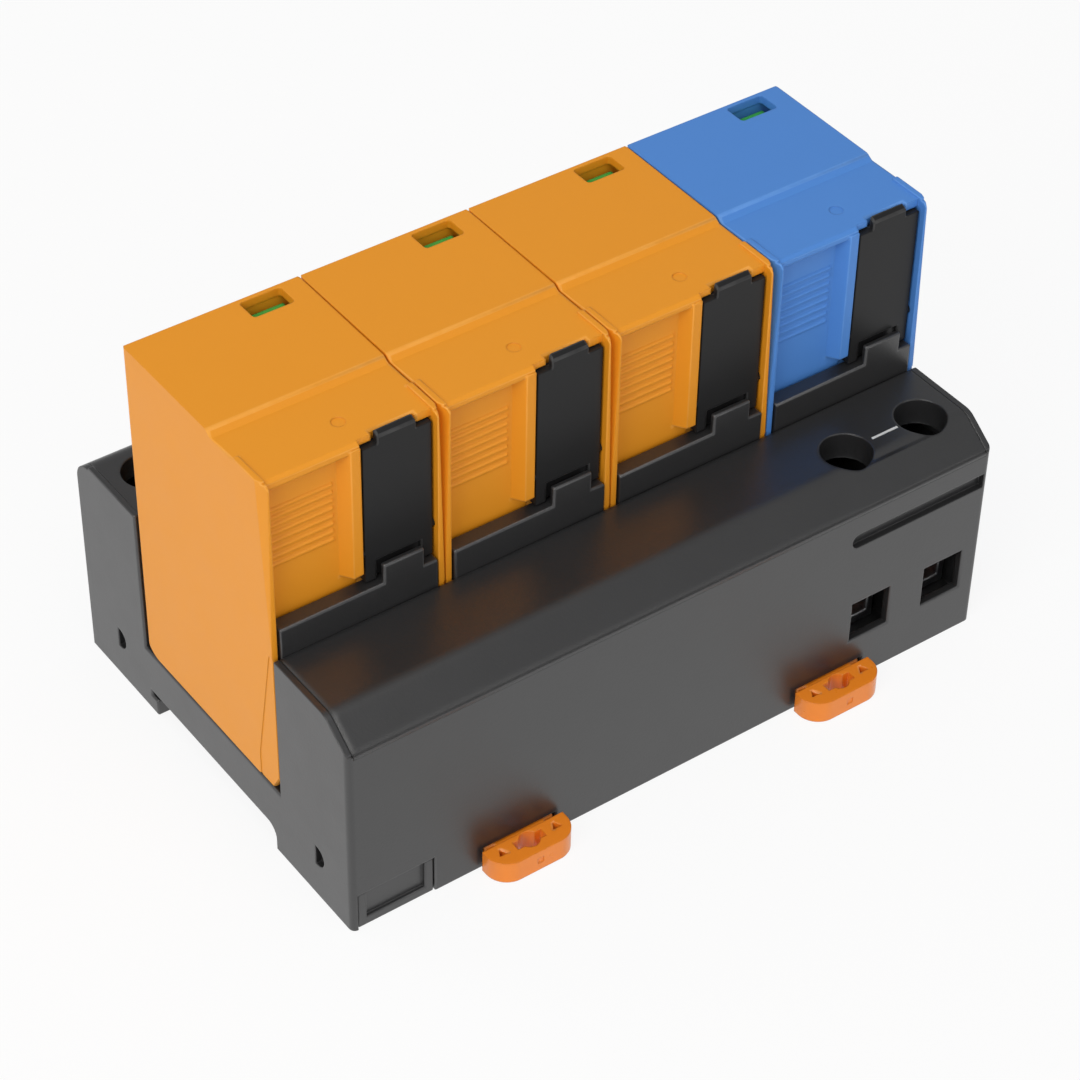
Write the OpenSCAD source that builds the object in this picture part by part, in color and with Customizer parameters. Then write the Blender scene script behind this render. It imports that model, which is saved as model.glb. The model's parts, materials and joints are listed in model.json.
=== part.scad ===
// Rail-mounted surge arrester: a terminal base with four plug-in protection modules.
// X runs along the rail, the front face with the rail feet looks to -Y, Z points away from the rail.

/* [Base] */
// Width of one rail unit; each pole takes two of them
din_w = 17.8; // [17.5:0.1:18]
// Depth of the base from front face to rear face
base_d = 90; // [88:0.5:96]
// Wall thickness of the base and its covers
wall = 2; // [1.6:0.1:2.2]
// Thickness of the ribs between terminal chambers
rib_t = 1.6; // [1.2:0.1:2]
// Depth of the front terminal tower
front_tower_d = 22.7; // [22.2:0.1:24]
// Depth of the rear terminal tower
rear_tower_d = 21; // [20.6:0.1:22]
// Height of the front tower
front_h = 47.2; // [46.5:0.1:49]
// Drop of the rear tower below the front tower
rear_drop = 1; // [0.6:0.1:1.2]
// Height of the front cover above its seam
cover_h = 5.7; // [5.6:0.1:6]
// Thickness of the base's end walls beside the covers
end_t = 1.2; // [1:0.1:1.6]
// Height of the bay floor that the modules stand on
floor_z = 15; // [14.6:0.1:17]
// Depth of the slope along the front cover
chamfer_y = 6.8; // [4:0.1:7]
// Height of the slope along the front cover
chamfer_z = 5; // [3:0.1:5]
// Radius between the front cover's top and its slope
brow_r = 4; // [2:0.1:5]
// Radius of the base's front corners
corner_r = 1.2; // [0.6:0.1:1.6]
// Radius of the rear cover's back edge
rear_r = 4.4; // [2:0.1:4.4]
// Gap that a module slides with on each face
slide_gap = 0.4; // [0.3:0.05:0.6]
// Gap between loose fitted pieces
fit_gap = 0.2; // [0.15:0.05:0.3]

/* [Rail] */
// Width of the mounting rail
rail_w = 35; // [34.5:0.1:35.5]
// Thickness of the rail's brim
brim_t = 1; // [0.9:0.05:1.2]
// Height of the rail seat above the underside
seat_z = 5.2; // [4.8:0.1:5.4]
// Place of the hook's tip behind the base's middle
hook_tip = 21; // [20:0.1:21.5]
// Depth of the slot behind the hook's tip
hook_reach = 2; // [1.5:0.1:2.4]
// Depth of the rail recess between its front wall and the hook
recess_d = 41.4; // [40:0.1:42]
// Radius of the recess's front corner
recess_r = 2.8; // [1:0.1:3.2]

/* [Rail feet] */
// Width of a foot's grip
foot_w = 17.5; // [16:0.1:20]
// Reach of the grip in front of the base
foot_reach = 6.5; // [6:0.1:9]
// Gap between the grip's wings and the base
wing_gap = 0.8; // [0.4:0.1:1.2]
// Width of the foot inside its channel
foot_rail_w = 15; // [13:0.1:16]
// Width of the foot's narrow lower part
foot_neck_w = 11; // [9:0.1:12]
// Height of the narrow lower part
foot_neck_h = 1.8; // [1.4:0.1:2.2]
// Overlap of the foot's nose under the rail
nose_grip = 1.8; // [1.2:0.1:2.4]
// Height of the grip
grip_h = 4.6; // [4.2:0.1:5]
// Radius of the screwdriver hole
foot_hole_r = 1.95; // [1.6:0.05:2.2]

/* [Terminals] */
// Distance of a terminal screw from the nearer long face
term_inset = 10.7; // [10.5:0.1:11]
// Diameter of the screw access holes
access_d = 10; // [9:0.1:10.6]
// Width of a wire entry
entry_w = 9.4; // [8:0.1:9.6]
// Height of a wire entry
entry_h = 9.2; // [8:0.1:9.4]
// Height of a wire entry's sill
sill_z = 10.3; // [10.1:0.1:10.8]
// Thickness of the copper bars
bar_t = 2; // [1.5:0.1:2.2]
// Wall thickness of a clamp cage
cage_t = 1.6; // [1.2:0.1:1.8]
// Length of a clamp cage along the wire
cage_l = 9; // [7:0.1:10]
// Travel of a clamp cage
cage_travel = 8; // [6:0.1:8]
// Radius of a clamp screw's thread
screw_r = 3; // [2.5:0.1:3.2]
// Radius of a clamp screw's head
head_r = 4.2; // [3.8:0.1:4.4]
// Height of a clamp screw's head
head_h = 4.5; // [3.5:0.1:4.6]

/* [Modules] */
// Height of the modules above the underside
module_h = 85.5; // [85:0.5:92]
// Gap between neighbouring modules
module_gap = 0.3; // [0.2:0.05:0.5]
// Thickness of a module's side flanges
flange_t = 1.2; // [1:0.05:1.4]
// Wall thickness of a module's shell
shell_t = 1.7; // [1.4:0.1:2]
// Thickness of a module's roof at the window
roof_t = 1.7; // [1.4:0.1:2]
// Height of the step in a module's top
top_step = 0.9; // [0.4:0.1:1.2]
// Distance of the step from a module's front
step_inset = 17.5; // [15:0.5:20]
// Chamfer of a module's moulded edges
edge = 0.7; // [0.4:0.1:1]
// Width of the bevel at the top of a module's front corners, across the module
bevel_x = 0.9; // [0.5:0.1:1.1]
// Width of the same bevel along the module's side
bevel_y = 2.6; // [1.5:0.1:3]
// Radius of a module's lower rear corner, seen from the side
heel_arc = 4.6; // [3:0.1:6]
// Radius of a module's rear corners
heel_r = 1.4; // [0.5:0.1:1.5]
// Width of the status window
window_w = 8.4; // [7:0.1:9]
// Length of the status window
window_l = 5; // [4:0.1:5.4]
// Number of grip ribs on a module's front
rib_n = 8; // [5:1:9]
// Spacing of the grip ribs
rib_pitch = 1.7; // [1.3:0.05:1.8]
// Thickness of a contact blade
blade_t = 1.5; // [1.2:0.1:1.8]
// Width of a contact blade
blade_w = 10; // [8:0.1:10.5]
// Height of the protection element in a module
element_h = 44; // [36:0.5:46]

/* [Release levers] */
// Place of a lever right of its module's middle
lever_x = 9.1; // [8.9:0.05:9.3]
// Width of a lever
lever_w = 13.7; // [13:0.1:13.8]
// Gap beside a lever
lever_gap = 0.5; // [0.3:0.05:0.55]
// Width of a lever's finger tab
tab_w = 7.7; // [6:0.1:9]
// Depth of the finger tab's sloped top
tab_reach = 1.4; // [1.1:0.1:1.6]
// Rise of the guide walls above the front tower
guide_rise = 6; // [5:0.1:7]
// Thickness of the guide walls
guide_t = 3.3; // [3:0.1:3.6]
// Rise of a guide wall's tongue
tongue_rise = 4; // [3:0.1:4.4]
// Length of a lever's legs below its pivot
leg_l = 6.4; // [6:0.1:7]
// Radius of a lever's pivot pins
pivot_r = 0.9; // [0.7:0.05:0.92]
// Swing of a lever
lever_swing = 40; // [30:1:42]

/* [Hidden] */
poles = 4;
terminals = 2 * poles;
neutral_terminals = 2;
pole_w = 2 * din_w;
base_l = poles * pole_w;
round_fn = 48;
cut = 1;

// Faces along Y, before the part is moved so that its box is centred
front_y = -base_d / 2;
rear_y = base_d / 2;
bay_f = front_y + front_tower_d;
bay_r = rear_y - rear_tower_d;
recess_f = hook_tip - recess_d;
term_f = front_y + term_inset;
term_r = rear_y - term_inset;

// Tower heights and covers
rear_h = front_h - rear_drop;
seam_z = front_h - cover_h;
cover_l = base_l - 2 * end_t - fit_gap;
rim_h = 0.5;

// Terminal heights, from the wire entry upwards
tongue_z = sill_z + entry_h + 0.1;
tongue_top = tongue_z + bar_t;
cage_floor_t = 2;
cage_z = sill_z - 1.3 - cage_floor_t;
cage_head_t = 2.8;
cage_top = tongue_top + 1.1 + cage_head_t;
cage_w = entry_w + 0.4 + 2 * cage_t;
head_z = cage_top + cage_travel + 0.5;
chamber_z = cage_z - fit_gap;
tongue_w = entry_w - 0.2;

// Contacts under the modules
clip_t = 1;
clip_gap = 0.2;
leg_w = 8;
leg_t = 1.5;
pocket_z = chamber_z + fit_gap;
contact_z = pocket_z + fit_gap;
clip_d = blade_t + 2 * clip_gap + 2 * clip_t;
clip_top = floor_z - 1.4;
blade_tip = contact_z + max(clip_t, leg_t) + 0.4;

// Signal contact bay in the front face's lower left corner
bay_w = 16.1;
bay_x = [-base_l / 2 + corner_r, -base_l / 2 + corner_r + bay_w];
bay_h = 8.6;
bay_depth = 1.4;

// Foot heights and lengths
foot_z = 0.2;
foot_top = seat_z - brim_t - 0.1;
rail_edge = hook_tip + hook_reach - 0.3 - rail_w;
nose_y = rail_edge + nose_grip;
hook_gap = brim_t + 0.5;

// Module faces and heights
half_w = pole_w / 2 - module_gap / 2;
mod_f = bay_f + slide_gap;
mod_r = bay_r - slide_gap;
mod_z = floor_z + 0.3;
core_f = bay_f + guide_t + slide_gap;
front_top = module_h - top_step;
step_y = mod_f + step_inset;
roof_z = module_h - roof_t;
cap_h = 5;
element_z = mod_z + cap_h;
element_top = element_z + element_h;
blade_r = mod_r - 6.6;
cavity_r = mod_r - 1.5;
cavity_x = half_w - shell_t;
window_y = cavity_r - window_l - 0.1;
blade_hold = 6;

// Levers and guide walls
guide_z = front_h + guide_rise;
guide_half = half_w - flange_t - slide_gap;
tongue_half = tab_w / 2 + 0.3;
leg_z = guide_z + 0.4;
pivot_z = leg_z + leg_l;
lever_f = mod_f + 1.2;
lever_b = core_f - fit_gap;
lever_top = front_top - 1.9;
pivot_y = (lever_f + lever_b) / 2;
slot_half = lever_w / 2 + lever_gap;
pin_l = 0.8;
lip_l = lever_x - slot_half - 1.9;
lip_slope = 1.6;
leg_sweep = leg_l * sin(lever_swing) + (lever_b - lever_f) / 2 * cos(lever_swing);
swing_y = pivot_y + leg_sweep + 0.3;
cavity_f = swing_y + 1.6;
blade_f = cavity_f + 4.8;
element_y = [blade_f + blade_t / 2 + fit_gap, blade_r - blade_t / 2 - fit_gap];

// Indicator flag under the window
flag_t = 1.3;
flag_drop = 1.7;
flag_top = roof_z - flag_drop;
flag_z = flag_top - flag_t;
flag_travel = 6;
flag_rib = 1.8;
groove_half = 1.1;
carrier_top = flag_z - fit_gap;

shell_black = [0.17, 0.17, 0.18];
shell_orange = [0.87, 0.50, 0.15];
shell_blue = [0.22, 0.42, 0.76];
copper = [0.80, 0.50, 0.32];
steel = [0.72, 0.73, 0.75];

function mid(c, w) = [c - w / 2, c + w / 2];
function numbered(name, n) = [for (k = [1 : n]) str(name, "_", k)];
function pole_x(k) = (k - (poles + 1) / 2) * pole_w;
function term_x(i) = (i - (terminals + 1) / 2) * din_w;
// Terminals count along the rear first, then the neutral pair at the front's right end
function clamp_x(i) = i <= terminals ? term_x(i) : term_x(i - neutral_terminals);
function clamp_y(i) = i <= terminals ? term_r : term_f;

clamps = terminals + neutral_terminals;

// Box between two limits on each axis
module span(x, y, z) {
    translate([x[0], y[0], z[0]])
        cube([x[1] - x[0], y[1] - y[0], z[1] - z[0]]);
}

// Outline in Y and Z drawn out along X, centred
module along_x(length) {
    rotate([90, 0, 90])
        translate([0, 0, -length / 2])
            linear_extrude(length)
                children();
}

module upright(x, y, z, r) {
    translate([x, y, z[0]])
        cylinder(r = r, h = z[1] - z[0], $fn = round_fn);
}

// The part stands with the middle of its box, feet included, on the origin
module in_place() {
    translate([0, foot_reach / 2, 0])
        children();
}

module at_pole(k) {
    translate([pole_x(k), 0, 0])
        children();
}

// Base: one moulding with two terminal towers, the module bay and the rail recess

module recess_outline() {
    difference() {
        translate([recess_f, -cut])
            square([recess_d, seat_z + cut]);
        translate([recess_f, seat_z - recess_r])
            difference() {
                square(recess_r);
                translate([recess_r, 0])
                    circle(recess_r, $fn = round_fn);
            }
    }
    translate([hook_tip - cut, seat_z - hook_gap])
        square([hook_reach + cut, hook_gap]);
}

module base_outline() {
    difference() {
        translate([front_y, 0])
            square([base_d, seam_z]);
        translate([bay_f, floor_z])
            square([bay_r - bay_f, seam_z]);
        recess_outline();
    }
}

// End walls that close the covers' ends, with a low rim beside the rear cover
module end_walls() {
    for (side = [-1, 1])
        translate([side * (base_l - end_t) / 2, 0, 0])
            along_x(end_t) {
                front_roof();
                rear_roof();
                translate([bay_r, rear_h - rim_h])
                    square([rear_tower_d - rear_r, 2 * rim_h]);
            }
}

// Upright corner between the front face and one end, to be taken off
module front_corner() {
    translate([-base_l / 2, front_y, -cut])
        linear_extrude(front_h + 2 * cut)
            difference() {
                translate([-cut, -cut])
                    square(corner_r + cut);
                translate([corner_r, corner_r])
                    circle(corner_r, $fn = round_fn);
            }
}

// Chambers in one tower, one for each rail unit, joined above the ribs
module chambers(y) {
    lip_room = 3.2;
    for (i = [1 : terminals]) {
        left = max(term_x(i) - din_w / 2 + rib_t / 2, -base_l / 2 + wall);
        right = min(term_x(i) + din_w / 2 - rib_t / 2, base_l / 2 - wall);
        span([left, right], y, [chamber_z, seam_z + cut]);
    }
    span([-base_l / 2 + wall, base_l / 2 - wall], y, [seam_z - lip_room, seam_z + cut]);
}

module wire_entries() {
    for (i = [1 : clamps]) {
        face = i <= terminals ? [rear_y - wall - cut, rear_y + cut] : [front_y - cut, front_y + wall + cut];
        span(mid(clamp_x(i), entry_w), face, [sill_z, sill_z + entry_h]);
    }
}

// Room for the copper bars along the inner walls and through them to the contact pockets
module bar_slots() {
    room = bar_t + 2 * fit_gap + 0.2;
    span([pole_x(1) - leg_w, term_x(terminals) + leg_w], [bay_f - wall - room, bay_f - wall],
        [chamber_z, tongue_top + 0.4]);
    for (k = [1 : poles]) {
        at_pole(k) {
            span([-din_w / 2 - leg_w / 2, din_w / 2 + leg_w / 2], [bay_r + wall, bay_r + wall + room],
                [chamber_z, tongue_top + 0.4]);
            contact_pocket(blade_f, [bay_f - wall - cut, blade_f]);
            contact_pocket(blade_r, [blade_r, bay_r + wall + cut]);
        }
    }
}

module contact_pocket(y, run) {
    clear = 0.5;
    half = blade_w / 2 + clear;
    span([-half, half], [y - clip_d / 2 - clear, y + clip_d / 2 + clear], [pocket_z, floor_z + cut]);
    span(mid(0, leg_w + 2 * clear), run, [pocket_z, contact_z + leg_t + clear]);
    span(mid(0, leg_w + 2 * clear), [max(run[0], bay_f), min(run[1], bay_r)], [pocket_z, floor_z + cut]);
}

// Guide walls between the module flanges, each with a tongue in front of the lever
module guide_walls() {
    tongue_t = 1.2;
    for (k = [1 : poles]) {
        at_pole(k) {
            span([-guide_half, guide_half], [bay_f - cut, bay_f + guide_t], [floor_z - cut, seam_z]);
            span([-guide_half, guide_half], [bay_f, bay_f + guide_t], [seam_z - cut, guide_z]);
            span(mid(lever_x, 2 * tongue_half), [bay_f, bay_f + tongue_t],
                [guide_z - cut, guide_z + tongue_rise]);
        }
    }
}

module foot_channel() {
    run = [front_y - cut, recess_f + recess_r];
    span(mid(0, foot_neck_w + 4 * fit_gap), run, [-cut, foot_neck_h + fit_gap]);
    span(mid(0, foot_rail_w + 4 * fit_gap), run, [foot_neck_h, foot_top + 2 * fit_gap]);
}

// Blind half-round holes low on the end faces
module end_holes() {
    hole_r = 2.3;
    hole_z = 10;
    inset = 11;
    depth = 1.3;
    for (side = [-1, 1], y = [front_y + inset, rear_y - inset])
        translate([side * base_l / 2, y, hole_z])
            intersection() {
                rotate([0, 90, 0])
                    cylinder(r = hole_r, h = 2 * depth, center = true, $fn = round_fn);
                span([-depth, depth], [-hole_r, 0.5], [-hole_r, hole_r]);
            }
}

// Slot for marker strips over the neutral terminals, with a round left end
module marker_slot() {
    slot_h = 3.2;
    slot_z = seam_z - 4.5 - slot_h;
    depth = 1.3;
    x = [pole_x(poles) - pole_w / 2 + 2.7, base_l / 2 - corner_r];
    translate([0, front_y + depth, 0])
        rotate([90, 0, 0])
            linear_extrude(depth + cut) {
                translate([x[0] + slot_h / 2, slot_z])
                    square([x[1] - x[0] - slot_h / 2, slot_h]);
                translate([x[0] + slot_h / 2, slot_z + slot_h / 2])
                    circle(slot_h / 2, $fn = round_fn);
            }
}

module base_housing() {
    color(shell_black)
        difference() {
            union() {
                along_x(base_l)
                    base_outline();
                end_walls();
                guide_walls();
            }
            chambers([front_y + wall, bay_f - wall]);
            chambers([bay_r + wall, rear_y - wall]);
            wire_entries();
            bar_slots();
            for (x = [-pole_w, pole_w])
                translate([x, 0, 0])
                    foot_channel();
            end_holes();
            marker_slot();
            span(bay_x, [front_y - cut, front_y + bay_depth], [-cut, bay_h]);
            front_corner();
            mirror([1, 0, 0])
                front_corner();
        }
}

// Plate that closes the signal contact bay, with a raised border at its foot and sides
module signal_bay_blank() {
    border = 1.8;
    face = front_y + 0.2;
    recess = 0.8;
    x = [bay_x[0] + fit_gap, bay_x[1] - fit_gap];
    color(shell_black)
        difference() {
            span(x, [face, front_y + bay_depth], [foot_z, bay_h - fit_gap]);
            span([x[0] + border, x[1] - border], [face - cut, face + recess], [foot_z + border, bay_h]);
        }
}

// Covers: roofs of the two terminal towers with screw access holes

module cover(holes_x, hole_y, z, inner) {
    collar_t = 1.2;
    difference() {
        union() {
            difference() {
                along_x(cover_l)
                    children(0);
                along_x(cover_l - 2 * wall)
                    children(1);
            }
            lip_ring(inner);
            intersection() {
                translate([0, 0, -wall / 2])
                    along_x(cover_l)
                        children(0);
                for (x = holes_x)
                    upright(x, hole_y, [seam_z, z], access_d / 2 + collar_t);
            }
        }
        for (x = holes_x)
            upright(x, hole_y, [seam_z - cut, z + cut], access_d / 2);
    }
}

// Lip that plugs into the base's walls, with a ledge that joins it to the cover
module lip_ring(inner) {
    lip_t = 1;
    lip_h = 2.5;
    half = base_l / 2 - wall - fit_gap;
    ledge = wall / 2;
    difference() {
        union() {
            span([-half, half], [inner[0] + fit_gap, inner[1] - fit_gap], [seam_z - lip_h, seam_z + lip_t]);
            span([-half, half], [inner[0] - ledge, inner[1] + ledge], [seam_z, seam_z + lip_t]);
        }
        span([-half + lip_t, half - lip_t], [inner[0] + fit_gap + lip_t, inner[1] - fit_gap - lip_t],
            [seam_z - lip_h - cut, seam_z + lip_t + cut]);
    }
}

// Low strip with a ledge, slope and round brow of the front tower's roof
module front_roof() {
    ledge = 0.4;
    lean = atan2(chamfer_z, chamfer_y);
    tangent = brow_r * tan(lean / 2);
    brow = [front_y + chamfer_y, front_h];
    strip_z = front_h - chamfer_z;
    polygon([
        [front_y, seam_z],
        [front_y, strip_z],
        [front_y + ledge, strip_z],
        [front_y + ledge, strip_z + ledge * tan(lean)],
        brow - tangent * [cos(lean), sin(lean)],
        brow + [tangent, 0],
        [bay_f, front_h],
        [bay_f, seam_z]
    ]);
    intersection() {
        translate(brow + [tangent, -brow_r])
            circle(brow_r, $fn = round_fn);
        translate([front_y, seam_z])
            square([front_tower_d, cover_h]);
    }
}

module front_room() {
    lean = chamfer_y / chamfer_z;
    corner_y = front_y + chamfer_y + 0.7 * wall;
    polygon([
        [corner_y - lean * (front_h - wall - seam_z), seam_z],
        [corner_y, front_h - wall],
        [bay_f - wall, front_h - wall],
        [bay_f - wall, seam_z]
    ]);
}

module rear_roof() {
    height = rear_h - seam_z;
    translate([bay_r, seam_z])
        square([rear_tower_d - rear_r, height]);
    translate([bay_r, seam_z])
        square([rear_tower_d, height - rear_r]);
    intersection() {
        translate([rear_y - rear_r, rear_h - rear_r])
            circle(rear_r, $fn = round_fn);
        translate([bay_r, seam_z])
            square([rear_tower_d, height]);
    }
}

module rear_room() {
    translate([bay_r + wall, seam_z])
        square([rear_tower_d - wall - rear_r, rear_h - seam_z - wall]);
}

module front_cover() {
    neutral_x = [for (i = [terminals + 1 : clamps]) clamp_x(i)];
    color(shell_black)
        cover(neutral_x, term_f, front_h, [front_y + wall, bay_f - wall]) {
            front_roof();
            front_room();
        }
}

module rear_cover() {
    line_x = [for (i = [1 : terminals]) clamp_x(i)];
    color(shell_black)
        cover(line_x, term_r, rear_h, [bay_r + wall, rear_y - wall]) {
            rear_roof();
            rear_room();
        }
}

// Rail feet: sliding latches with a grip in front and a sloped nose under the rail

module foot_grip_outline() {
    r = 4.4;
    back = foot_reach - wing_gap;
    intersection() {
        union() {
            translate([-foot_w / 2, r])
                square([foot_w, back]);
            translate([-foot_w / 2 + r, 0])
                square([foot_w - 2 * r, back]);
            for (side = [-1, 1])
                translate([side * (foot_w / 2 - r), r])
                    circle(r, $fn = round_fn);
        }
        translate([-foot_w / 2, 0])
            square([foot_w, back]);
    }
}

module foot_body_outline(start) {
    ramp = 2.6;
    nose_t = 1.2;
    polygon([
        [start, foot_z],
        [nose_y - ramp, foot_z],
        [nose_y, foot_top - nose_t],
        [nose_y, foot_top],
        [start, foot_top]
    ]);
}

// The foot's wide slide, cut back below to the width of its neck
module foot_slide() {
    difference() {
        along_x(foot_rail_w)
            foot_body_outline(front_y + fit_gap);
        for (side = [-1, 1])
            translate([side * (foot_neck_w + foot_rail_w) / 4, 0, 0])
                span(mid(0, (foot_rail_w - foot_neck_w) / 2), [front_y, nose_y + cut],
                    [foot_z - cut, foot_neck_h + 2 * fit_gap]);
    }
}

module rail_foot() {
    hole_y = front_y - foot_reach + 3.6;
    slot = [6.2, 1.9];
    mark = 1.3;
    height = [foot_z - cut, foot_z + grip_h + cut];
    color(shell_orange)
        difference() {
            union() {
                translate([0, front_y - foot_reach, foot_z])
                    linear_extrude(grip_h)
                        foot_grip_outline();
                along_x(foot_neck_w)
                    foot_body_outline(front_y - wing_gap - cut);
                foot_slide();
            }
            span(mid(0, mark), [front_y - foot_reach - cut, front_y - foot_reach + 0.2],
                mid(foot_z + grip_h / 2, mark));
            upright(0, hole_y, height, foot_hole_r);
            span(mid(0, slot[0]), mid(hole_y, slot[1]), height);
            for (side = [-1, 1])
                translate([side * foot_w / 3, hole_y, height[0]])
                    rotate([0, 0, 90])
                        cylinder(r = 1.1, h = height[1] - height[0], $fn = 3);
        }
}

// Copper bars with clamping tongues and a spring clip for each module blade

module blade_clip(y) {
    span(mid(0, blade_w), mid(y, clip_d), [contact_z, contact_z + clip_t]);
    for (side = [-1, 1])
        span(mid(0, blade_w), mid(y + side * (clip_d - clip_t) / 2, clip_t), [contact_z, clip_top]);
}

module clamp_tongue(x, y) {
    span(mid(x, tongue_w), y, [tongue_z, tongue_top]);
}

module line_bar() {
    y = bay_r + wall + fit_gap;
    reach = term_r + cage_l / 2 + 0.5;
    half = (din_w + leg_w) / 2 - fit_gap;
    color(copper) {
        span([-half, half], [y, y + bar_t], [contact_z, tongue_top]);
        for (side = [-1, 1])
            clamp_tongue(side * din_w / 2, [y, reach]);
        span(mid(0, leg_w), [blade_r, y + bar_t], [contact_z, contact_z + leg_t]);
        blade_clip(blade_r);
    }
}

module neutral_busbar() {
    y = bay_f - wall - fit_gap;
    reach = term_f - cage_l / 2 - 0.5;
    color(copper) {
        span([pole_x(1) - leg_w + fit_gap, term_x(terminals) + leg_w - fit_gap], [y - bar_t, y],
            [contact_z, tongue_top]);
        for (i = [terminals + 1 : clamps])
            clamp_tongue(clamp_x(i), [reach, y]);
        for (k = [1 : poles])
            at_pole(k) {
                span(mid(0, leg_w), [y - bar_t, blade_f], [contact_z, contact_z + leg_t]);
                blade_clip(blade_f);
            }
    }
}

// Rising clamps: a cage that a captive screw draws up under the copper tongue

module clamp_cage() {
    window_top = cage_top - cage_head_t;
    color(steel)
        difference() {
            span(mid(0, cage_w), mid(0, cage_l), [cage_z, cage_top]);
            span(mid(0, cage_w - 2 * cage_t), [-cage_l, cage_l], [cage_z + cage_floor_t, window_top]);
            upright(0, 0, [window_top - cut, cage_top + cut], screw_r + 0.05);
        }
}

module clamp_screw() {
    slot_w = 1.2;
    slot_h = 1.8;
    color(steel)
        difference() {
            union() {
                upright(0, 0, [tongue_top + 0.1, head_z + cut], screw_r);
                upright(0, 0, [head_z, head_z + head_h], head_r);
            }
            for (turn = [0, 90])
                rotate([0, 0, turn])
                    span([-1, 1] * (head_r - 1), mid(0, slot_w),
                        [head_z + head_h - slot_h, head_z + head_h + cut]);
        }
}

// Modules: a shell open below, with a lever recess and a ribbed grip panel in front

module module_outline(front) {
    toe = [1.6, 3];
    difference() {
        polygon([
            [front + toe[0], mod_z],
            [mod_r, mod_z],
            [mod_r, module_h - edge],
            [mod_r - edge, module_h],
            [step_y, module_h],
            [step_y - 1.5, front_top],
            [front + edge, front_top],
            [front, front_top - edge],
            [front, mod_z + toe[1]]
        ]);
        translate([mod_r - heel_arc, mod_z])
            difference() {
                translate([0, -cut])
                    square(heel_arc + cut);
                translate([0, heel_arc])
                    circle(heel_arc, $fn = round_fn);
            }
    }
}

module module_flange(side) {
    translate([side * (half_w - flange_t / 2), 0, 0])
        along_x(flange_t)
            module_outline(mod_f);
}

// Front edge of the roof over the grip panel
module roof_lip() {
    lip_f = lever_f + 0.1;
    polygon([
        [lip_f, front_top - 1.8],
        [lip_f, front_top - edge],
        [lip_f + edge, front_top],
        [core_f + cut, front_top],
        [core_f + cut, front_top - 1.8]
    ]);
}

// Post between the grip panel and the lever, sloped on the panel's side
module panel_lip() {
    foot = guide_z + 2.3;
    translate([0, 0, foot])
        linear_extrude(front_top - 1 - foot)
            polygon([
                [lip_l - lip_slope, core_f + cut],
                [lip_l - lip_slope, core_f],
                [lip_l, lever_f - 0.2],
                [lever_x - slot_half, lever_f - 0.2],
                [lever_x - slot_half, core_f + cut]
            ]);
}

// Rounded ribs, each a slice of a cylinder that stands out of the panel
module grip_ribs() {
    rib_h = 0.35;
    rib_w = 1;
    rib_r = (rib_w * rib_w / 4 + rib_h * rib_h) / (2 * rib_h);
    rib_rise = 11.4;
    x = [-half_w + flange_t + 1, lip_l - lip_slope - 0.9];
    for (i = [0 : rib_n - 1])
        translate([x[0], core_f + rib_r - rib_h, guide_z + rib_rise + i * rib_pitch])
            rotate([0, 90, 0])
                cylinder(r = rib_r, h = x[1] - x[0], $fn = round_fn);
}

// Raised ends of the top's side edges
module top_rims() {
    for (side = [-1, 1])
        translate([side * (half_w - flange_t / 2), 0, 0])
            span(mid(0, flange_t), [mod_f + 1.4, step_y - 8], [front_top - cut, front_top + 0.4]);
}

// Room for the lever: a slot in front, a pocket behind the pivot, and openings in the roof's front edge
module lever_room() {
    half = slot_half;
    shoulder_y = lever_f + 1;
    span(mid(lever_x, 2 * half), [mod_f - cut, core_f], [guide_z, lever_top + 0.3]);
    span(mid(lever_x, 2 * half), [mod_f - cut, shoulder_y], [lever_top, module_h]);
    span(mid(lever_x, 2 * half), [core_f - cut, swing_y], [guide_z - 0.2, pivot_z + 1.8]);
    span(mid(lever_x, tab_w + 2 * lever_gap), [mod_f - cut, lever_f + tab_reach + 0.6],
        [lever_top, module_h]);
    translate([lever_x, pivot_y, pivot_z])
        rotate([0, 90, 0])
            cylinder(r = pivot_r + 0.08, h = 2 * (slot_half + pin_l + 0.1), center = true, $fn = round_fn);
}

// Bevel of a front corner, widest at the top and run out above the front tower
module corner_bevel() {
    foot = front_h + 1.3;
    run = front_top - foot;
    reach = 4 * run;
    turn = atan2(bevel_x, bevel_y);
    lean = atan2(1 / run, norm([1 / bevel_x, 1 / bevel_y]));
    translate([half_w, mod_f, foot])
        rotate([0, -lean, -turn])
            translate([0, -reach / 2, -reach / 2])
                cube(reach);
}

// Shallow step on a flange's outer face where it enters the base
module draft_step() {
    depth = 0.12;
    top = [mod_f + 1.1, front_h];
    foot = [mod_f + 5.9, mod_z + 5.7];
    translate([half_w, 0, 0])
        along_x(2 * depth)
            polygon([[mod_f - cut, top[1]], top, foot, [foot[0], mod_z - cut], [mod_f - cut, mod_z - cut]]);
}

module rear_corner() {
    translate([half_w - heel_r, mod_r - heel_r, mod_z - cut])
        linear_extrude(module_h - mod_z + 2 * cut)
            difference() {
                square(heel_r + cut);
                circle(heel_r, $fn = round_fn);
            }
}

// Status window with rounded corners
module window_hole() {
    r = 0.7;
    y = [window_y, window_y + window_l];
    z = [roof_z - cut, module_h + cut];
    span(mid(lever_x, window_w - 2 * r), y, z);
    span(mid(lever_x, window_w), y + [r, -r], z);
    for (x = mid(lever_x, window_w - 2 * r))
        for (corner = y + [r, -r])
            upright(x, corner, z, r);
}

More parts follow.
